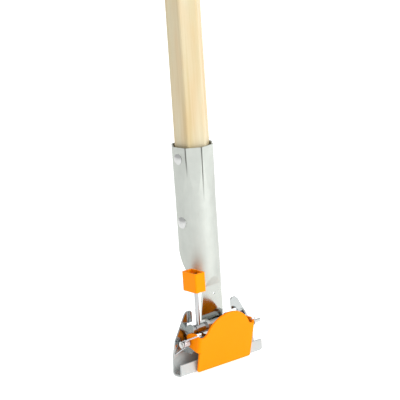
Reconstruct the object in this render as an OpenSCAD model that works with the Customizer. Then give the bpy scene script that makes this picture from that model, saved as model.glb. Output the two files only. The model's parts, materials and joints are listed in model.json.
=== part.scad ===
// Long-handled floor tool with a spring-closed clamp jaw at its foot, sizes in mm.
// +Z is up along the handle, -Y is the front, X runs along the jaw.
// The origin is the centre of the flat underside of the trough.

/* [Handle] */
// height of the handle's top above the foot
handle_top = 1220; // [900:5:1500]
// height of the handle's lower end, inside the socket
handle_foot = 112; // [110:1:130]
// distance from the handle's axis to the corners of its hexagon
hex_r = 15.5; // [12:0.1:15.8]
// width taken off each corner of the hexagon
hex_blunt = 0.35; // [0:0.05:1]
// turn of the hexagon's front corner towards +X
hex_turn = 6.7; // [0:0.1:30]
// radius of the domed top end
dome_r = 22; // [16:1:40]

/* [Socket] */
// distance of the handle's axis behind the middle of the trough
axis_y = 15.75; // [14:0.05:20]
// outer radius of the round part
socket_r = 17.2; // [14:0.1:20]
// sheet thickness of the socket
socket_t = 1.2; // [0.8:0.1:2]
// height of the socket's mouth
socket_top = 192; // [150:0.5:220]
// height where the eight flats begin
flats_z = 150; // [130:1:180]
// turn of the front flat towards +X
oct_turn = 8; // [0:0.5:22]
// height of the slanted cut at the front wall
cut_z = 61.6; // [50:0.1:80]
// rise of the slanted cut for each mm towards the back
cut_rise = 1.42; // [0.5:0.01:2]

/* [Tongue] */
// half width of the tongue
tongue_hw = 12; // [8:0.5:14]
// height where the tongue bends down against the back plate
tongue_bend_z = 26; // [22:1:34]
// height of the tongue's lower edge
tongue_foot_z = 8; // [6:1:14]
// height where the leaning wall ends
tongue_lean_z = 70; // [60:1:90]
// height where the shoulder meets the round wall
tongue_shoulder_z = 78; // [70:1:100]
// distance of the leaning wall from its foot's plane at its top
tongue_lean = 4.6; // [2:0.1:8]
// radius of the small hole in the tongue
tongue_hole_r = 1.1; // [0.5:0.1:3]
// height of that hole
tongue_hole_z = 62; // [58:0.5:64]

/* [Clamp frame] */
// half length of the trough along X
frame_hw = 46.3; // [40:0.1:60]
// sheet thickness of the clamp frame
frame_t = 1.5; // [1:0.1:2.5]
// half width of the trough across Y
trough_hw = 5.75; // [5:0.25:8]
// height of the trough's front lip
lip_h = 10.8; // [8:0.1:14]
// outer radius of the trough's lower corners
trough_r = 3.5; // [2:0.5:5]
// height of the knee in the plate's outer edge
knee_z = 29; // [20:1:36]
// half width of the plate at its knee
knee_hw = 42.4; // [38:0.1:46]
// height of the plate's two top corners
horn_z = 52.2; // [44:0.1:60]
// half width to the outer side of each top corner
horn_out = 29; // [26:0.5:34]
// half width to the inner side of each top corner
horn_in = 22.5; // [18:0.5:25]
// height of the plate's middle edge
plate_mid_z = 26; // [20:1:32]

/* [Lugs] */
// half distance over the two lugs
lug_x = 30.1; // [29:0.1:33]
// front edge of the lugs
lug_front_y = -6.3; // [-9:0.1:-5]
// lower edge of the lugs
lug_low_z = 16; // [12:1:20]
// top of the lugs
lug_top_z = 42; // [38:0.5:46]

/* [Jaw pin and spindle] */
// Y of both axes
pivot_y = -1.7; // [-3:0.1:0]
// height of the jaw pin
pin_z = 27; // [24:0.5:30]
// radius of the jaw pin
pin_r = 1.6; // [1.2:0.1:2.5]
// left end of the jaw pin
pin_left = 42; // [41.5:0.5:48]
// right end of the jaw pin
pin_right = 49; // [41.5:0.5:52]
// height of the spindle
spindle_z = 36.5; // [34:0.5:40]
// radius of the spindle inside the sleeve
spindle_r = 2.7; // [2:0.1:3.2]
// radius of the spindle's two journals in the lugs
journal_r = 1.7; // [1.2:0.1:2]
// half length of the thick part of the spindle
spindle_hw = 28.2; // [26:0.1:28.4]

/* [Lever] */
// outer radius of the sleeve
sleeve_r = 4.25; // [3.5:0.05:5]
// half length of the sleeve
sleeve_hw = 25.5; // [20:0.5:27]
// X of the lever bar
bar_x = -21; // [-23:0.1:-20]
// radius of the lever bar
bar_r = 1.85; // [1.2:0.05:2.5]
// height of the lever bar's top
bar_top = 80; // [74:1:84]
// radius of the round tip of each finger
finger_tip_r = 1.2; // [0.8:0.1:2]
// height of the tips
finger_tip_z = 14; // [10:1:18]
// Y of the tips
finger_tip_y = -7.85; // [-9:0.05:-7]
// half distance between the fingers' middles
finger_x = 13; // [8:1:20]
// thickness of each finger
finger_t = 3; // [2:0.5:5]

/* [Grip] */
// left side of the grip
grip_left = -29.2; // [-32:0.1:-26]
// right side of the grip
grip_right = -18; // [-20:0.1:-18]
// front of the grip
grip_front = -11.9; // [-14:0.1:-8]
// back of the grip
grip_back = 6; // [2:0.1:7]
// lower end of the grip
grip_low_z = 71.4; // [66:0.1:74]
// top of the grip
grip_top_z = 88; // [80:0.1:92]
// wall of the grip round its open top
grip_wall = 1.8; // [1:0.1:3]
// depth of the open top
grip_pocket = 9; // [4:0.5:12]

/* [Jaw] */
// sheet thickness of the jaw
jaw_t = 1.5; // [1:0.1:2.5]
// half width of the jaw over its side ears
jaw_hw = 32; // [31:0.1:33]
// half width of the jaw's lower edge
jaw_low_hw = 29.9; // [26:0.1:30]
// forward lean of the jaw at rest
jaw_lean = 14; // [8:0.5:20]
// Y of the lower front edge
jaw_low_y = -7.75; // [-9:0.05:-7]
// height of the lower front edge
jaw_low_z = 0.6; // [0.3:0.1:3]
// length of the jaw's side edges, along the plate
jaw_side = 32.3; // [28:0.1:36]
// height of the hump above the side edges, along the plate
hump_h = 18; // [12:0.5:24]
// radius of the hump
hump_r = 26; // [20:0.5:30]
// radius of the hollow where the hump meets the side edge
hump_fillet = 6; // [4:0.5:12]
// outer radius of the folds between plate and ears
fold_r = 3; // [1.6:0.1:4]

/* [Springs] */
// radius of the spring wire
wire_r = 0.6; // [0.4:0.05:1]
// radius to the middle of the coil's wire
coil_r = 2.5; // [2.4:0.1:3.5]
// inner end of each coil
coil_in = 33; // [32.5:0.1:34]
// outer end of each coil
coil_out = 40; // [38:0.1:42]

/* [Rivets] */
// turn of the handle rivets from the X axis towards the back
rivet_turn = 0; // [-4:0.5:8]
// shank radius of the two handle rivets
rivet_r = 2.4; // [1.5:0.1:3]
// head radius of the handle rivets
rivet_head_r = 5; // [3:0.1:6]
// height of a handle rivet's dome
rivet_head_h = 1.5; // [1:0.1:4]
// height of the upper rivet
rivet_high_z = 181.8; // [160:0.1:186]
// height of the lower rivet
rivet_low_z = 126.3; // [120:0.1:140]
// shank radius of the tongue rivets
tongue_rivet_r = 2; // [1:0.1:3]
// half distance between the tongue rivets
tongue_rivet_x = 6; // [4:0.5:8]
// height of the tongue rivets
tongue_rivet_z = 17; // [14:1:20]

/* [Hidden] */
$fn = 48;
e = 0.01;
far = 200;
gap = 0.05;
plate_y = trough_hw - frame_t;
socket_in = socket_r - socket_t;
lug_mid_y = (plate_y + lug_front_y) / 2;
lug_r = (plate_y - lug_front_y) / 2;
window_in = lug_x - frame_t - (plate_y - lug_front_y);
washer_r = 3.5;
retainer_r = 3;
retainer_t = 0.7;
finger_eye_r = sleeve_r + 2;
fold_from = 18;
grip_round = 1.5;
grip_pin_r = 1.2;
grip_pin_z = 75.5;
paddle_t = 2;
leg_low = [-43.4, plate_y - wire_r - gap, 18.3];
leg_bend = [-33.5, -13.8, 35];
leg_end = [-28.5, -13.8, 35];
coil_turns = 5;
coil_in_r = coil_r - wire_r + gap;

// a cylinder along X between two X values, at a given Y and Z
module rod_x(x0, x1, y, z, r) {
    translate([x0, y, z]) rotate([0, 90, 0]) cylinder(r = r, h = x1 - x0);
}

// a flat outline in Y and Z, drawn as [y, z] points, given a thickness along X
module slab_x(x0, x1) {
    translate([x0, 0, 0]) rotate([90, 0, 90]) linear_extrude(height = x1 - x0) children();
}

// a straight round wire from a to b, with a round end at b
module wire(a, b) {
    d = b - a;
    translate(a)
        rotate([0, acos(d[2] / norm(d)), atan2(d[1], d[0])]) cylinder(r = wire_r, h = norm(d));
    translate(b) sphere(r = wire_r + 0.03);
}

// the same solid on both sides of the middle plane
module both_sides() {
    children();
    mirror([1, 0, 0]) children();
}

// the bores of the two handle rivets
module rivet_bores(r) {
    for (z = [rivet_low_z, rivet_high_z])
        translate([0, axis_y, z]) rotate([0, 0, -rivet_turn]) rod_x(-far / 2, far / 2, 0, 0, r);
}

// hexagonal stick with blunted corners and a domed top
module wooden_handle() {
    color([0.90, 0.80, 0.62])
    difference() {
        intersection() {
            translate([0, axis_y, handle_foot]) rotate([0, 0, hex_turn - 90])
                cylinder(r = hex_r, h = handle_top - handle_foot, $fn = 6);
            translate([0, axis_y, handle_foot])
                cylinder(r = hex_r - hex_blunt, h = handle_top - handle_foot);
            translate([0, axis_y, 0]) union() {
                cylinder(r = dome_r, h = handle_top - dome_r);
                translate([0, 0, handle_top - dome_r]) sphere(r = dome_r);
            }
        }
        rivet_bores(rivet_r + gap);
    }
}

// solid that is round below and turns eight-sided above, between two heights
module socket_core(r, low, high) {
    flat = r + gap;
    corner = flat / cos(22.5) + gap;
    slope = (corner - r) / (socket_top - flats_z);
    translate([0, axis_y, 0]) rotate([0, 0, oct_turn + 67.5]) {
        translate([0, 0, low]) cylinder(r = r, h = flats_z - low);
        translate([0, 0, flats_z]) intersection() {
            cylinder(r = flat / cos(22.5), h = high - flats_z, $fn = 8);
            cylinder(r1 = r, r2 = r + slope * (high - flats_z), h = high - flats_z);
        }
    }
}

// everything behind the line that the tongue's sheet follows, moved back by dy
module behind_tongue(dy) {
    slope = (axis_y - socket_r - trough_hw + tongue_lean) / (tongue_shoulder_z - tongue_lean_z);
    over = 3;
    out_y = axis_y - socket_r + dy + slope * over;
    slab_x(-far, far) polygon([
        [trough_hw + dy, 0],
        [trough_hw + dy, tongue_bend_z],
        [trough_hw - tongue_lean + dy, tongue_lean_z],
        [out_y, tongue_shoulder_z + over],
        [out_y, 2 * far],
        [far, 2 * far],
        [far, 0]
    ]);
}

// what the slanted cut takes away behind the tongue
module below_cut() {
    lean = tongue_lean / (tongue_lean_z - tongue_bend_z);
    back = trough_hw + socket_t;
    join_z = (cut_z + (back + lean * tongue_bend_z - axis_y + socket_r) * cut_rise)
        / (1 + lean * cut_rise);
    slab_x(-far, far) polygon([
        [back, 0],
        [back, tongue_bend_z],
        [back - lean * (join_z - tongue_bend_z), join_z],
        [axis_y + 2 * socket_r, cut_z + 3 * socket_r * cut_rise],
        [axis_y + 2 * socket_r, 0]
    ]);
}

// folded tube whose front wall runs down as a flattened tongue
module socket_shell() {
    color([0.78, 0.80, 0.79])
    difference() {
        intersection() {
            socket_core(socket_r, tongue_foot_z, socket_top);
            behind_tongue(0);
        }
        intersection() {
            socket_core(socket_in, tongue_foot_z - 1, socket_top + 1);
            behind_tongue(socket_t);
        }
        below_cut();
        // straight side edges of the tongue
        both_sides() translate([tongue_hw, 0, 0])
            cube([socket_r, 2 * trough_hw, cut_z - 5]);
        rivet_bores(rivet_r + gap);
        tongue_rivet_holes();
        translate([2, 0, tongue_hole_z]) rotate([90, 0, 0])
            cylinder(r = tongue_hole_r, h = 2 * trough_hw, center = true);
    }
}

// holes for the tongue rivets, through the tongue and the plate
module tongue_rivet_holes() {
    for (s = [-1, 1])
        translate([s * tongue_rivet_x, 0, tongue_rivet_z]) rotate([-90, 0, 0])
            cylinder(r = tongue_rivet_r + gap, h = 2 * trough_hw);
}

// two rivets through socket and handle, with a low domed head at each end
module socket_rivets() {
    seat = 1.5;
    dome = (rivet_head_r * rivet_head_r + rivet_head_h * rivet_head_h) / (2 * rivet_head_h);
    color([0.80, 0.81, 0.80]) {
        difference() {
            for (z = [rivet_low_z, rivet_high_z])
                translate([0, axis_y, z]) rotate([0, 0, -rivet_turn])
                    for (side = [-90, 90]) rotate([0, side, 0])
                        translate([0, 0, socket_r - seat]) rotate_extrude() intersection() {
                            translate([0, seat + rivet_head_h - dome]) circle(r = dome);
                            square([rivet_head_r, seat + rivet_head_h + 1]);
                        }
            socket_core(socket_r + e, 100, socket_top);
        }
        for (z = [rivet_low_z, rivet_high_z])
            translate([0, axis_y, z]) rotate([0, 0, -rivet_turn])
                rod_x(-socket_r - 1, socket_r + 1, 0, 0, rivet_r);
    }
}

// outline of the trough and plate in Y and Z
module trough_section(grow, high) {
    hw = trough_hw - grow;
    r = trough_r - grow;
    translate([r - hw, grow]) square([2 * (hw - r), r + e]);
    translate([-hw, trough_r]) square([2 * hw, high - trough_r]);
    for (s = [-1, 1]) translate([s * (hw - r), trough_r]) circle(r = r);
}

// one lug's outline in Y and Z, bent forward from the plate
module lug_outline() {
    difference() {
        union() {
            translate([lug_front_y, lug_low_z])
                square([plate_y + frame_t - lug_front_y, lug_top_z - lug_r - lug_low_z]);
            translate([lug_mid_y, lug_top_z - lug_r]) circle(r = lug_r);
            translate([lug_mid_y, lug_top_z - 2 * lug_r])
                square([plate_y + frame_t - lug_mid_y, lug_r + 2]);
        }
        polygon([
            [lug_front_y - 1, lug_low_z - 1], [lug_front_y + 6, lug_low_z - 1],
            [lug_front_y - 1, lug_low_z + 6]
        ]);
    }
}

// one stamping: U-shaped trough, back plate with two horns, and two lugs
module clamp_frame() {
    color([0.74, 0.76, 0.76])
    difference() {
        union() {
            intersection() {
                slab_x(-frame_hw, frame_hw) difference() {
                    trough_section(0, horn_z + 1);
                    trough_section(frame_t, horn_z + 2);
                }
                union() {
                    // trough and front lip
                    translate([-frame_hw, -trough_hw - 1, -1])
                        cube([2 * frame_hw, trough_hw + 1, lip_h + 1]);
                    // back plate
                    translate([0, trough_hw + 1, 0]) rotate([90, 0, 0])
                        linear_extrude(height = trough_hw + 1 + e) plate_outline();
                }
            }
            both_sides() slab_x(lug_x - frame_t, lug_x) lug_outline();
        }
        rod_x(-far, far, pivot_y, pin_z, pin_r + 0.02);
        rod_x(-far, far, pivot_y, spindle_z, journal_r + 0.02);
        tongue_rivet_holes();
    }
}

// outline of the back plate in X and Z
module plate_outline() {
    difference() {
        polygon([
            [-frame_hw, -1], [frame_hw, -1], [frame_hw, trough_r],
            [frame_hw - 0.9, 16], [knee_hw, knee_z],
            [horn_out + 1.2, horn_z - 2.1], [horn_out - 1.2, horn_z], [1.2 - horn_out, horn_z],
            [-horn_out - 1.2, horn_z - 2.1], [-knee_hw, knee_z],
            [0.9 - frame_hw, 16], [-frame_hw, trough_r]
        ]);
        // open middle above the low edge
        polygon([
            [-horn_in, lug_top_z - 1], [horn_in, lug_top_z - 1], [horn_in, horn_z - 1.6],
            [horn_in + 1.6, horn_z], [horn_in + 1.6, horn_z + 1],
            [-horn_in - 1.6, horn_z + 1], [-horn_in - 1.6, horn_z], [-horn_in, horn_z - 1.6]
        ]);
        translate([-window_in - e, plate_mid_z])
            square([2 * (window_in + e), lug_top_z - plate_mid_z]);
        // openings that the lugs were bent out of
        for (s = [-1, 1]) translate([s > 0 ? window_in : frame_t - lug_x, lug_low_z])
            square([lug_x - frame_t - window_in, lug_top_z - lug_low_z]);
    }
}

// two rivets that hold the tongue to the plate, flush in front and domed behind
module tongue_rivets() {
    color([0.80, 0.81, 0.80])
    for (s = [-1, 1]) translate([s * tongue_rivet_x, 0, tongue_rivet_z]) rotate([-90, 0, 0]) {
        translate([0, 0, plate_y]) cylinder(r = tongue_rivet_r, h = frame_t + socket_t + gap);
        translate([0, 0, trough_hw + socket_t]) cylinder(r1 = 3.6, r2 = 2.4, h = 1.5);
    }
}

// places children in the jaw plate's own frame: X across, Y through the sheet, Z up it
module on_jaw() {
    translate([0, jaw_low_y, jaw_low_z]) rotate([jaw_lean, 0, 0]) children();
}

// outline of the jaw's plate, X across and Y up the plate
module jaw_outline() {
    drop = hump_r - hump_h;
    fillet_x = sqrt(pow(hump_r + hump_fillet, 2) - pow(hump_fillet + drop, 2));
    polygon([
        [1 - jaw_low_hw, 0], [jaw_low_hw - 1, 0], [jaw_low_hw, 1], [jaw_low_hw + 0.3, fold_from],
        [jaw_hw, fold_from], [jaw_hw, jaw_side], [-jaw_hw, jaw_side],
        [-jaw_hw, fold_from], [-jaw_low_hw - 0.3, fold_from], [-jaw_low_hw, 1]
    ]);
    translate([0, jaw_side]) {
        intersection() {
            translate([0, -drop]) circle(r = hump_r, $fn = 96);
            translate([-jaw_hw, -1]) square([2 * jaw_hw, far]);
        }
        // hollow fillets at the hump's two feet
        difference() {
            polygon([
                [-fillet_x, -1], [fillet_x, -1], [fillet_x, 0],
                [fillet_x * hump_r / (hump_r + hump_fillet), fillet_top()],
                [-fillet_x * hump_r / (hump_r + hump_fillet), fillet_top()],
                [-fillet_x, 0]
            ]);
            for (s = [-1, 1]) translate([s * fillet_x, hump_fillet]) circle(r = hump_fillet);
        }
    }
}

// height above the side edge where the fillet meets the hump
function fillet_top() =
    hump_r / (hump_r + hump_fillet) * (hump_fillet + hump_r - hump_h) - (hump_r - hump_h);

// outline of the jaw's ear in Y and Z
module ear_outline() {
    back = pivot_y + 3.3;
    polygon([
        [-20, 28.7], [-10, 35.5], [-3.6, 35.3], [-0.2, 34], [back, 31.8],
        [back, 25], [0.6, 23.4], [-11.7, 18.8], [-20, 15.7]
    ]);
}

// one bent sheet: leaning plate with a round hump, and an ear at each side
module jaw() {
    color([1.0, 0.62, 0.05])
    difference() {
        union() {
            // plate between the folds
            on_jaw() rotate([90, 0, 0]) mirror([0, 0, 1]) linear_extrude(height = jaw_t)
                intersection() {
                    jaw_outline();
                    union() {
                        translate([fold_r - jaw_hw, -1]) square([2 * (jaw_hw - fold_r), far]);
                        translate([-jaw_hw, -1]) square([2 * jaw_hw, fold_from + 1]);
                    }
                }
            // folds and ears
            intersection() {
                on_jaw() translate([0, 0, fold_from]) linear_extrude(height = 22)
                    difference() {
                        fold_section(jaw_hw, 0, fold_r);
                        fold_section(jaw_hw - jaw_t, jaw_t, fold_r - jaw_t);
                        translate([fold_r - jaw_hw, -1]) square([2 * (jaw_hw - fold_r), far]);
                    }
                slab_x(-jaw_hw - 1, jaw_hw + 1) ear_outline();
            }
        }
        rod_x(-far, far, pivot_y, pin_z, pin_r + gap);
    }
}

// half-open box with round front corners, X across and Y backward
module fold_section(hw, front, r) {
    translate([-hw, front + r]) square([2 * hw, 30]);
    translate([r - hw, front]) square([2 * (hw - r), r + e]);
    for (s = [-1, 1]) translate([s * (hw - r), front + r]) circle(r = r);
}

// round pin through lugs, ears and springs
module jaw_pin() {
    color([0.80, 0.81, 0.82]) rod_x(-pin_left, pin_right, pivot_y, pin_z, pin_r);
}

// a flat ring round the X axis
module ring_x(x, t, r_out, r_in) {
    difference() {
        rod_x(x, x + t, pivot_y, pin_z, r_out);
        rod_x(x - 1, x + t + 1, pivot_y, pin_z, r_in);
    }
}

// push-on nuts that keep the springs on the pin
module jaw_pin_retainers() {
    color([0.62, 0.63, 0.64]) both_sides() {
        ring_x(coil_out + 0.5, retainer_t, retainer_r, pin_r + 0.02);
        ring_x(coil_out + 0.5, retainer_t * 1.6, pin_r + 0.6, pin_r + 0.02);
    }
}

// thin washers between ears and lugs
module jaw_washers() {
    color([0.70, 0.71, 0.72]) both_sides()
        ring_x(lug_x + gap, jaw_hw - jaw_t - lug_x - 2 * gap, washer_r, pin_r + 0.02);
}

// torsion spring: coil round the pin, one leg on the plate, one behind the jaw
module spring_left() {
    pitch = (coil_out - coil_in - 2 * wire_r) / (coil_turns - 1);
    color([0.86, 0.87, 0.88]) union() {
        translate([-coil_in, pivot_y, pin_z]) rotate([0, -90, 0]) rotate_extrude()
            intersection() {
                union() {
                    translate([coil_in_r, wire_r])
                        square([coil_r - coil_in_r, coil_out - coil_in - 2 * wire_r]);
                    for (i = [0:coil_turns - 1])
                        translate([coil_r, wire_r + i * pitch]) circle(r = wire_r);
                }
                translate([coil_in_r, 0]) square(coil_out);
            }
        wire([-coil_in - wire_r, pivot_y, pin_z - coil_r], leg_low);
        wire([wire_r - coil_out, pivot_y - coil_r, pin_z], leg_bend);
        wire(leg_bend, leg_end);
    }
}

module spring_right() {
    mirror([1, 0, 0]) spring_left();
}

// shouldered rod between the lugs
module spindle() {
    color([0.80, 0.81, 0.82]) {
        rod_x(-spindle_hw, spindle_hw, pivot_y, spindle_z, spindle_r);
        rod_x(-lug_x - 0.2, lug_x + 0.2, pivot_y, spindle_z, journal_r);
    }
}

// spacer rings between the sleeve's ends and the lugs
module spindle_spacers() {
    color([0.84, 0.85, 0.86]) both_sides() difference() {
        rod_x(sleeve_hw + 0.2, spindle_hw - 0.2, pivot_y, spindle_z, sleeve_r - 0.6);
        rod_x(sleeve_hw, spindle_hw, pivot_y, spindle_z, spindle_r + 0.02);
    }
}

// tube that turns on the spindle
module lever_sleeve() {
    color([0.80, 0.81, 0.84]) difference() {
        rod_x(-sleeve_hw, sleeve_hw, pivot_y, spindle_z, sleeve_r);
        rod_x(-far, far, pivot_y, spindle_z, spindle_r + gap);
    }
}

// round bar from the sleeve to a flat end inside the grip
module lever_bar() {
    color([0.80, 0.81, 0.84]) difference() {
        union() {
            translate([bar_x, pivot_y, spindle_z]) cylinder(r = bar_r, h = bar_top - spindle_z);
            translate([grip_left + grip_wall + 0.6, pivot_y - paddle_t / 2, bar_top - 2])
                cube([8, paddle_t, grip_top_z - bar_top]);
        }
        rod_x(-far, far, pivot_y, spindle_z, sleeve_r);
        rod_x(-far, far, pivot_y, grip_pin_z, grip_pin_r + 0.02);
    }
}

// two fingers on the sleeve that reach down in front of the pin and push the jaw open
module opening_fingers() {
    color([0.78, 0.79, 0.80]) for (s = [-1, 1])
        slab_x(s * finger_x - finger_t / 2, s * finger_x + finger_t / 2) difference() {
            union() {
                translate([pivot_y, spindle_z]) circle(r = finger_eye_r);
                polygon([
                    [-7.7, 35], [-8.3, 26], [finger_tip_y - finger_tip_r, finger_tip_z],
                    [finger_tip_y + finger_tip_r, finger_tip_z], [-5.2, 25], [-3.6, 31]
                ]);
                translate([finger_tip_y, finger_tip_z]) circle(r = finger_tip_r);
            }
            translate([pivot_y, spindle_z]) circle(r = sleeve_r + 0.02);
        }
}

// square plastic thumb grip with an open top
module grip() {
    color([1.0, 0.60, 0.05])
    difference() {
        translate([0, 0, grip_low_z]) linear_extrude(height = grip_top_z - grip_low_z)
            grip_section(0);
        translate([0, 0, grip_top_z - grip_pocket]) linear_extrude(height = grip_pocket + 1)
            grip_section(grip_wall);
        translate([bar_x, pivot_y, grip_low_z - 1]) cylinder(r = bar_r + 0.02, h = far);
        translate([grip_left + grip_wall + 0.5, pivot_y - paddle_t / 2 - 0.1, bar_top - 2.1])
            cube([8.2, paddle_t + 0.2, far]);
        rod_x(grip_left + grip_wall, far, pivot_y, grip_pin_z, grip_pin_r + 0.02);
    }
}

// the grip's outline from above, drawn in by a given amount
module grip_section(inset) {
    r = max(grip_round - inset, 0.5);
    for (x = [grip_left + inset + r, grip_right - inset - r])
        for (y = [grip_front + inset + r, grip_back - inset - r])
            translate([x, y]) circle(r = r);
    translate([grip_left + inset, grip_front + inset + r])
        square([grip_right - grip_left - 2 * inset, grip_back - grip_front - 2 * (inset + r)]);
    translate([grip_left + inset + r, grip_front + inset])
        square([grip_right - grip_left - 2 * (inset + r), grip_back - grip_front - 2 * inset]);
}

// pin through the bar, pressed into the grip from its right side
module grip_pin() {
    color([0.70, 0.71, 0.72])
        rod_x(grip_left + grip_wall + 0.2, grip_right - 0.3, pivot_y, grip_pin_z, grip_pin_r);
}

wooden_handle();
socket_shell();
socket_rivets();
clamp_frame();
tongue_rivets();
jaw();
jaw_pin();
jaw_pin_retainers();
jaw_washers();
spring_left();
spring_right();
spindle();
spindle_spacers();
lever_sleeve();
lever_bar();
opening_fingers();
grip();
grip_pin();
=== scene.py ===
import json
import math

import bmesh
import bpy
from mathutils import Matrix, Vector


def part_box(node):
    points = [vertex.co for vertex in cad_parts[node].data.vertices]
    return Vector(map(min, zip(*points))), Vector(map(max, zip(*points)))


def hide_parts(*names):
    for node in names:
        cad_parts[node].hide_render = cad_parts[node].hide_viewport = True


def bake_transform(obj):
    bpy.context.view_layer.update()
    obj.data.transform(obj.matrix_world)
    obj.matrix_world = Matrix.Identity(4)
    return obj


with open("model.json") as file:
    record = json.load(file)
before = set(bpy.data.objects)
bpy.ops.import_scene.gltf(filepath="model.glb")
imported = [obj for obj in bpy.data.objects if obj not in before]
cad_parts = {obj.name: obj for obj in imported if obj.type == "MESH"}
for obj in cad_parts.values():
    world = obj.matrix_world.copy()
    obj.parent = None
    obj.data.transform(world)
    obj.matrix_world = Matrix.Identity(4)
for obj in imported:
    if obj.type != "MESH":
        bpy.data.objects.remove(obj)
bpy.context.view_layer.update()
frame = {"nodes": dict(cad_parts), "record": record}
NODES = frame["nodes"]
MM = 0.001


# ---------------------------------------------------------------- materials
def new_material(name):
    """An empty material with one Principled shader."""
    m = bpy.data.materials.new(name)
    m.use_nodes = True
    nt = m.node_tree
    nt.nodes.clear()
    out = nt.nodes.new("ShaderNodeOutputMaterial")
    bsdf = nt.nodes.new("ShaderNodeBsdfPrincipled")
    nt.links.new(bsdf.outputs["BSDF"], out.inputs["Surface"])
    return m, nt, bsdf


def coords(nt, scale=(1, 1, 1)):
    """Object coordinates in metres, multiplied per axis."""
    tex = nt.nodes.new("ShaderNodeTexCoord")
    mapping = nt.nodes.new("ShaderNodeMapping")
    mapping.inputs["Scale"].default_value = scale
    nt.links.new(tex.outputs["Object"], mapping.inputs["Vector"])
    return mapping.outputs["Vector"]


def xyz(nt):
    """The three object coordinates, each on its own; z is the height above the foot."""
    split = nt.nodes.new("ShaderNodeSeparateXYZ")
    nt.links.new(coords(nt), split.inputs[0])
    return tuple(split.outputs)


def noise(nt, vector, scale, detail=4, rough=0.5):
    n = nt.nodes.new("ShaderNodeTexNoise")
    n.inputs["Scale"].default_value = scale
    n.inputs["Detail"].default_value = detail
    n.inputs["Roughness"].default_value = rough
    nt.links.new(vector, n.inputs["Vector"])
    return n.outputs["Fac"]


def ramp(nt, fac, stops):
    """A colour for each value, from (value, colour) stops."""
    r = nt.nodes.new("ShaderNodeValToRGB")
    el = r.color_ramp.elements
    while len(el) < len(stops):
        el.new(0.5)
    for e, (pos, col) in zip(el, stops):
        e.position = pos
        e.color = (*col, 1)
    nt.links.new(fac, r.inputs["Fac"])
    return r.outputs["Color"]


def remap(nt, fac, lo, hi, to_lo, to_hi):
    """A value's range lo to hi, stretched to to_lo to to_hi and held at its ends."""
    r = nt.nodes.new("ShaderNodeMapRange")
    for i, v in enumerate((lo, hi, to_lo, to_hi)):
        r.inputs[i + 1].default_value = v
    nt.links.new(fac, r.inputs[0])
    return r.outputs[0]


def spread(nt, fac, to_lo, to_hi):
    """A noise's usual range, stretched to to_lo to to_hi."""
    return remap(nt, fac, *NOISE_RANGE, to_lo, to_hi)


def bump(nt, bsdf, relief, strength, distance):
    b = nt.nodes.new("ShaderNodeBump")
    b.inputs["Strength"].default_value = strength
    b.inputs["Distance"].default_value = distance
    nt.links.new(relief, b.inputs["Height"])
    nt.links.new(b.outputs["Normal"], bsdf.inputs["Normal"])


def mix(nt, a, b, fac, blend="MIX"):
    m = nt.nodes.new("ShaderNodeMix")
    m.data_type = "RGBA"
    m.blend_type = blend
    if isinstance(fac, (int, float)):
        m.inputs[0].default_value = fac
    else:
        nt.links.new(fac, m.inputs[0])
    for slot, value in ((6, a), (7, b)):
        if isinstance(value, tuple):
            m.inputs[slot].default_value = (*value, 1)
        else:
            nt.links.new(value, m.inputs[slot])
    return m.outputs[2]


def maths(nt, operation, a, b=None):
    n = nt.nodes.new("ShaderNodeMath")
    n.operation = operation
    for slot, value in enumerate((a, b)):
        if isinstance(value, (int, float)):
            n.inputs[slot].default_value = value
        elif value is not None:
            nt.links.new(value, n.inputs[slot])
    return n.outputs[0]


# the values that most of a noise lies between
NOISE_RANGE = (0.3, 0.7)

# wood: figure, long streaks and warm patches, each stretched along the handle
WOOD_TONES = (
    (0.22, (0.55, 0.46, 0.26)), (0.50, (0.615, 0.535, 0.365)), (0.78, (0.65, 0.58, 0.425)),
)
STREAK_TONES = ((0.30, (0.86, 0.80, 0.70)), (0.58, (1, 1, 1)))
PATCH_TONES = ((0.34, (1.0, 0.89, 0.78)), (0.62, (0.98, 1.0, 1.0)))
FIGURE_SCALE, PATCH_SCALE, STREAK_SCALE = (80, 80, 5), (70, 70, 18), (900, 900, 14)


def wood_material():
    m, nt, bsdf = new_material("handle_wood")
    figure = noise(nt, coords(nt, FIGURE_SCALE), 1.0, detail=3, rough=0.45)
    broad = noise(nt, coords(nt, PATCH_SCALE), 1.0, detail=2)
    fine = noise(nt, coords(nt, STREAK_SCALE), 1.0, detail=5, rough=0.6)
    col = mix(nt, ramp(nt, figure, WOOD_TONES), ramp(nt, fine, STREAK_TONES), 0.5, "MULTIPLY")
    col = mix(nt, col, ramp(nt, broad, PATCH_TONES), 0.8, "MULTIPLY")
    nt.links.new(col, bsdf.inputs["Base Color"])
    nt.links.new(spread(nt, fine, 0.58, 0.44), bsdf.inputs["Roughness"])
    bsdf.inputs["Specular IOR Level"].default_value = 0.35
    bump(nt, bsdf, fine, strength=0.10, distance=0.0002)
    return m


# steel: a fine grain along the handle under soft clouds of a slightly darker grey
BRUSHED = (600, 600, 40)
CLOUD_SCALE = 90
CLOUD_SHADE = 0.92


def steel_grain(nt, scale):
    return noise(nt, coords(nt, scale), 1.0, rough=0.55)


def steel_material(name, colour, rough, change=0.06, grain_scale=BRUSHED, strength=0.05):
    m, nt, bsdf = new_material(name)
    grain = steel_grain(nt, grain_scale)
    cloud = noise(nt, coords(nt), CLOUD_SCALE, detail=3)
    lo, hi = NOISE_RANGE
    tint = ramp(nt, cloud, ((lo, tuple(c * CLOUD_SHADE for c in colour)), (hi, colour)))
    nt.links.new(tint, bsdf.inputs["Base Color"])
    bsdf.inputs["Metallic"].default_value = 1.0
    nt.links.new(spread(nt, grain, rough - change, rough + change), bsdf.inputs["Roughness"])
    bump(nt, bsdf, grain, strength, distance=0.0001)
    return m, nt, bsdf, tint


SOCKET_GREY = (0.535, 0.56, 0.525)
# painted shade: each pressed crease is drawn as a dark line in the sheet's colour, with no
# groove in the shape
CREASE_SHADE = (0.09, 0.09, 0.08)
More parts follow.
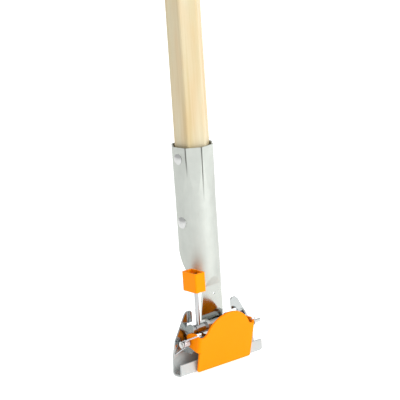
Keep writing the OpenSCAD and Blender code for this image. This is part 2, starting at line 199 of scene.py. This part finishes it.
# direction round the handle from +X in degrees, and length below the rim
CREASES = ((-149.3, 0.026), (-105.5, 0.048))
# angles in radians off a crease's middle, where it is full and where it ends
CREASE_EDGE = (0.010, 0.045)
# the part of a crease's length below which its painted shade fades, and how far that painted
# shade darkens the sheet
FADE_FROM, CREASE_SHADE_STRENGTH = 0.45, 0.95
# heights between which the smooth tongue turns into the duller round part
TONGUE_TO_ROUND = (0.052, 0.078)
TONGUE_ROUGH, ROUND_ROUGH, ROUGH_CHANGE = 0.09, 0.52, 0.03


def socket_material():
    """Zinc sheet with the shade of two pressed creases painted in as dark lines that start at
    the rim and fade downward.
    """
    m, nt, bsdf, tint = steel_material("galvanised_sheet", SOCKET_GREY, ROUND_ROUGH)
    lo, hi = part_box("wooden_handle")
    axis_y = (lo[1] + hi[1]) / 2
    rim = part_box("socket_shell")[1][2]
    x, y, z = xyz(nt)
    angle = maths(nt, "ARCTAN2", maths(nt, "SUBTRACT", y, axis_y), x)
    crease_shade = None
    for degrees, length in CREASES:
        off = maths(nt, "ABSOLUTE", maths(nt, "SUBTRACT", angle, math.radians(degrees)))
        line = remap(nt, off, *CREASE_EDGE, 1.0, 0.0)
        fade = remap(nt, z, rim - length, rim - length * FADE_FROM, 0.0, 1.0)
        line = maths(nt, "MULTIPLY", line, fade)
        crease_shade = line if crease_shade is None else maths(nt, "MAXIMUM", crease_shade, line)
    # painted shade: the creases darken the sheet's colour
    dark = mix(nt, tint, CREASE_SHADE, maths(nt, "MULTIPLY", crease_shade, CREASE_SHADE_STRENGTH))
    nt.links.new(dark, bsdf.inputs["Base Color"])
    # in place of the grain's own roughness, one that changes with height
    base = remap(nt, z, *TONGUE_TO_ROUND, TONGUE_ROUGH, ROUND_ROUGH)
    uneven = spread(nt, steel_grain(nt, BRUSHED), -ROUGH_CHANGE, ROUGH_CHANGE)
    nt.links.new(maths(nt, "ADD", base, uneven), bsdf.inputs["Roughness"])
    return m


FRAME_GREY = (0.48, 0.505, 0.50)
# heights between which the worn trough turns into bright sheet, and how uneven that line is
WORN_TO_BRIGHT = (0.014, 0.024)
WEAR_UNEVEN = 0.003
WORN_METALLIC, WORN_ROUGH, BRIGHT_ROUGH = 0.15, 0.38, 0.11


def frame_material():
    """Bright sheet, worn dull by use round the trough."""
    m, nt, bsdf, _ = steel_material("clamp_sheet", FRAME_GREY, BRIGHT_ROUGH,
                                    grain_scale=(60, 60, 60), strength=0.02)
    uneven = spread(nt, noise(nt, coords(nt), 120, detail=3), -WEAR_UNEVEN, WEAR_UNEVEN)
    wear = maths(nt, "ADD", xyz(nt)[2], uneven)
    metallic = remap(nt, wear, *WORN_TO_BRIGHT, WORN_METALLIC, 1.0)
    nt.links.new(metallic, bsdf.inputs["Metallic"])
    # in place of the grain's own roughness
    rough = remap(nt, wear, *WORN_TO_BRIGHT, WORN_ROUGH, BRIGHT_ROUGH)
    nt.links.new(rough, bsdf.inputs["Roughness"])
    return m


def coat_material(name, colour, rough):
    """Smooth orange paint or plastic with a faint orange-peel skin."""
    m, nt, bsdf = new_material(name)
    skin = noise(nt, coords(nt), 900, detail=2)
    cloud = noise(nt, coords(nt), 60, detail=3)
    lo, hi = NOISE_RANGE
    tint = ramp(nt, cloud, ((lo, tuple(c * 0.97 for c in colour)), (hi, colour)))
    nt.links.new(tint, bsdf.inputs["Base Color"])
    nt.links.new(spread(nt, skin, rough - 0.03, rough + 0.03), bsdf.inputs["Roughness"])
    bsdf.inputs["Specular IOR Level"].default_value = 0.06
    bump(nt, bsdf, skin, strength=0.04, distance=0.0001)
    return m


WOOD = wood_material()
SOCKET = socket_material()
FRAME = frame_material()
RIVET = steel_material("rivet_steel", (0.57, 0.58, 0.57), 0.32)[0]
WIRE = steel_material("spring_wire", (0.64, 0.64, 0.66), 0.20)[0]
BAR = steel_material("bright_bar", (0.47, 0.475, 0.48), 0.15, 0.04)[0]
ORANGE = coat_material("orange_paint", (1.0, 0.27, 0.0), 0.42)
PLASTIC = coat_material("orange_plastic", (1.0, 0.285, 0.0), 0.36)

LOOKS = {
    "wooden_handle": WOOD,
    "socket_shell": SOCKET,
    "socket_rivets": RIVET,
    "clamp_frame": FRAME,
    "tongue_rivets": RIVET,
    "jaw": ORANGE,
    "jaw_pin": RIVET,
    "jaw_pin_retainers": RIVET,
    "jaw_washers": RIVET,
    "spring_left": WIRE,
    "spring_right": WIRE,
    "spindle": RIVET,
    "spindle_spacers": BAR,
    "lever_sleeve": BAR,
    "lever_bar": BAR,
    "opening_fingers": RIVET,
    "grip": PLASTIC,
    "grip_pin": RIVET,
}

for name, ob in NODES.items():
    ob.data.materials.clear()
    ob.data.materials.append(LOOKS[name])


# ---------------------------------------------------------------- springs
def tube(name, path, radius, material, sides=14):
    """A round wire swept along a path of points, with closed ends."""
    bm = bmesh.new()
    rings = []
    side = Vector((0, 0, 1))
    for i, p in enumerate(path):
        ahead = (path[min(i + 1, len(path) - 1)] - path[max(i - 1, 0)]).normalized()
        side = (side - ahead * side.dot(ahead)).normalized()
        other = ahead.cross(side)
        rings.append([
            bm.verts.new(p + (side * math.cos(t) + other * math.sin(t)) * radius)
            for t in (2 * math.pi * k / sides for k in range(sides))
        ])
    for a, b in zip(rings, rings[1:]):
        for k in range(sides):
            bm.faces.new((a[k], a[(k + 1) % sides], b[(k + 1) % sides], b[k]))
    bm.faces.new(rings[0][::-1])
    bm.faces.new(rings[-1])
    bmesh.ops.recalc_face_normals(bm, faces=bm.faces)
    mesh = bpy.data.meshes.new(name)
    bm.to_mesh(mesh)
    bm.free()
    for poly in mesh.polygons:
        poly.use_smooth = len(poly.vertices) == 4
    mesh.materials.append(material)
    ob = bpy.data.objects.new(name, mesh)
    bpy.context.scene.collection.objects.link(ob)
    return ob


def rounded(points, bend, steps=6):
    """The same line with the corners between its ends rounded."""
    out = [points[0]]
    for a, b, c in zip(points, points[1:], points[2:]):
        p = b + (a - b).normalized() * min(bend, (a - b).length / 2)
        q = b + (c - b).normalized() * min(bend, (c - b).length / 2)
        for k in range(steps + 1):
            t = k / steps
            out.append(p.lerp(b, t).lerp(b.lerp(q, t), t))
    out.append(points[-1])
    return out


# the left spring, in millimetres
WIRE_R = 0.6
COIL_R = 2.5
COIL_X = (33.8, 39.2)
COIL_TURNS = 5
STEPS_PER_TURN = 28
# directions in degrees, from the coil's underside to its front, the way the jaw winds it up
COIL_ENDS = (-90, -90 - 360 * (COIL_TURNS - 1) - 90)
PLATE_LEG = ((-43.4, 3.55, 18.3), (-35.0, -0.9, 24.0))
JAW_LEG = ((-38.6, -4.8, 30.6), (-33.6, -13.4, 34.8), (-28.8, -13.8, 35.0))
PLATE_BEND, JAW_BEND = 0.8, 1.6


def torsion_spring(node, mirror):
    """One leg on the back plate, a close coil round the pin, one leg over the jaw's ear."""
    hinges = frame["record"]["behaviour"]["joints"]
    pin = [j for j in hinges if j["name"] == "jaw_hinge"][0]["pos_m"]
    coil_in, coil_out = COIL_X
    start, end = (math.radians(a) for a in COIL_ENDS)
    steps = COIL_TURNS * STEPS_PER_TURN
    coil = []
    for i in range(steps + 1):
        t = i / steps
        a = start + (end - start) * t
        coil.append(Vector((-(coil_in + (coil_out - coil_in) * t) * MM,
                            pin[1] + COIL_R * MM * math.cos(a),
                            pin[2] + COIL_R * MM * math.sin(a))))
    plate_leg, jaw_leg = ([Vector(p) * MM for p in leg] for leg in (PLATE_LEG, JAW_LEG))
    head = rounded(plate_leg + coil[:1], PLATE_BEND * MM)[:-1]
    tail = rounded(coil[-1:] + jaw_leg, JAW_BEND * MM)[1:]
    path = head + coil + tail
    if mirror:
        path = [Vector((-p.x, p.y, p.z)) for p in path]
    ob = tube(node + "_wire", path, WIRE_R * MM, WIRE)
    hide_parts(node)
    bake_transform(ob)


torsion_spring("spring_left", False)
torsion_spring("spring_right", True)


# ---------------------------------------------------------------- stage
FLOOR_SIZE = 12
FLOOR_TONES = ((0.3, (0.88, 0.88, 0.88)), (0.7, (0.90, 0.90, 0.90)))
FLOOR_GLOW = 0.56
# where the room is brightest, and its grey from the far side round to there
BRIGHT_SIDE = (0.6, -0.8, 0.0)
ROOM_TONES = (
    (0.0, (0.66, 0.66, 0.66)), (0.45, (0.80, 0.80, 0.80)), (1.0, (1.0, 1.0, 0.99)),
)


def plain_floor():
    """A white light table: it glows a little, so that shadows on it stay faint."""
    bpy.ops.mesh.primitive_plane_add(size=FLOOR_SIZE, location=(0, 0, 0))
    floor = bpy.context.object
    floor.name = "studio_floor"
    m, nt, bsdf = new_material("studio_white")
    soft = noise(nt, coords(nt), 3, detail=2)
    nt.links.new(ramp(nt, soft, FLOOR_TONES), bsdf.inputs["Base Color"])
    bsdf.inputs["Roughness"].default_value = 0.9
    bsdf.inputs["Specular IOR Level"].default_value = 0.1
    bsdf.inputs["Emission Color"].default_value = (1, 1, 1, 1)
    bsdf.inputs["Emission Strength"].default_value = FLOOR_GLOW
    floor.data.materials.append(m)


def studio_world():
    """Soft room light, brightest from the front right."""
    world = bpy.data.worlds.new("studio")
    bpy.context.scene.world = world
    world.use_nodes = True
    nt = world.node_tree
    bg = nt.nodes["Background"]
    tex = nt.nodes.new("ShaderNodeTexCoord")
    facing = nt.nodes.new("ShaderNodeVectorMath")
    facing.operation = "DOT_PRODUCT"
    facing.inputs[1].default_value = BRIGHT_SIDE
    nt.links.new(tex.outputs["Generated"], facing.inputs[0])
    shade = ramp(nt, remap(nt, facing.outputs["Value"], -1, 1, 0, 1), ROOM_TONES)
    nt.links.new(shade, bg.inputs["Color"])
    bg.inputs["Strength"].default_value = 1.0


KEY_AT, KEY_TARGET = (0.55, -1.75, 0.85), (0, 0.005, 0.10)
KEY_SIZE, KEY_WATTS = 0.9, 19


def key_light():
    """One soft square light at the tool's front right."""
    data = bpy.data.lights.new("key", "AREA")
    data.shape = "SQUARE"
    data.size = KEY_SIZE
    data.energy = KEY_WATTS
    ob = bpy.data.objects.new("key", data)
    bpy.context.scene.collection.objects.link(ob)
    ob.location = KEY_AT
    aim = Vector(KEY_TARGET) - Vector(KEY_AT)
    ob.rotation_euler = aim.to_track_quat("-Z", "Y").to_euler()


plain_floor()
studio_world()
key_light()


# ---------------------------------------------------------------- camera
# turn to the left of the front, height above level and roll, in degrees
YAW, TILT, ROLL = 40, 14, -3.8
CAMERA_TARGET = (0.0252, 0.0402, 0.1338)
CAMERA_DISTANCE = 1.8
LENS, SENSOR = 186.2, 36


def photo_camera():
    """The photographer stands at the tool's left front, a little above it."""
    yaw, tilt, roll = (math.radians(a) for a in (YAW, TILT, ROLL))
    back = Vector((-math.sin(yaw) * math.cos(tilt), -math.cos(yaw) * math.cos(tilt),
                   math.sin(tilt)))
    right = Vector((math.cos(yaw), -math.sin(yaw), 0))
    up = back.cross(right)
    x_axis = right * math.cos(roll) + up * math.sin(roll)
    y_axis = up * math.cos(roll) - right * math.sin(roll)
    data = bpy.data.cameras.new("photo")
    data.sensor_width = SENSOR
    data.lens = LENS
    cam = bpy.data.objects.new("photo", data)
    bpy.context.scene.collection.objects.link(cam)
    at = Vector(CAMERA_TARGET) + back * CAMERA_DISTANCE
    cam.matrix_world = Matrix((
        (x_axis.x, y_axis.x, back.x, at.x),
        (x_axis.y, y_axis.y, back.y, at.y),
        (x_axis.z, y_axis.z, back.z, at.z),
        (0, 0, 0, 1),
    ))
    bpy.context.scene.camera = cam


photo_camera()
bpy.context.scene.view_settings.view_transform = "Standard"
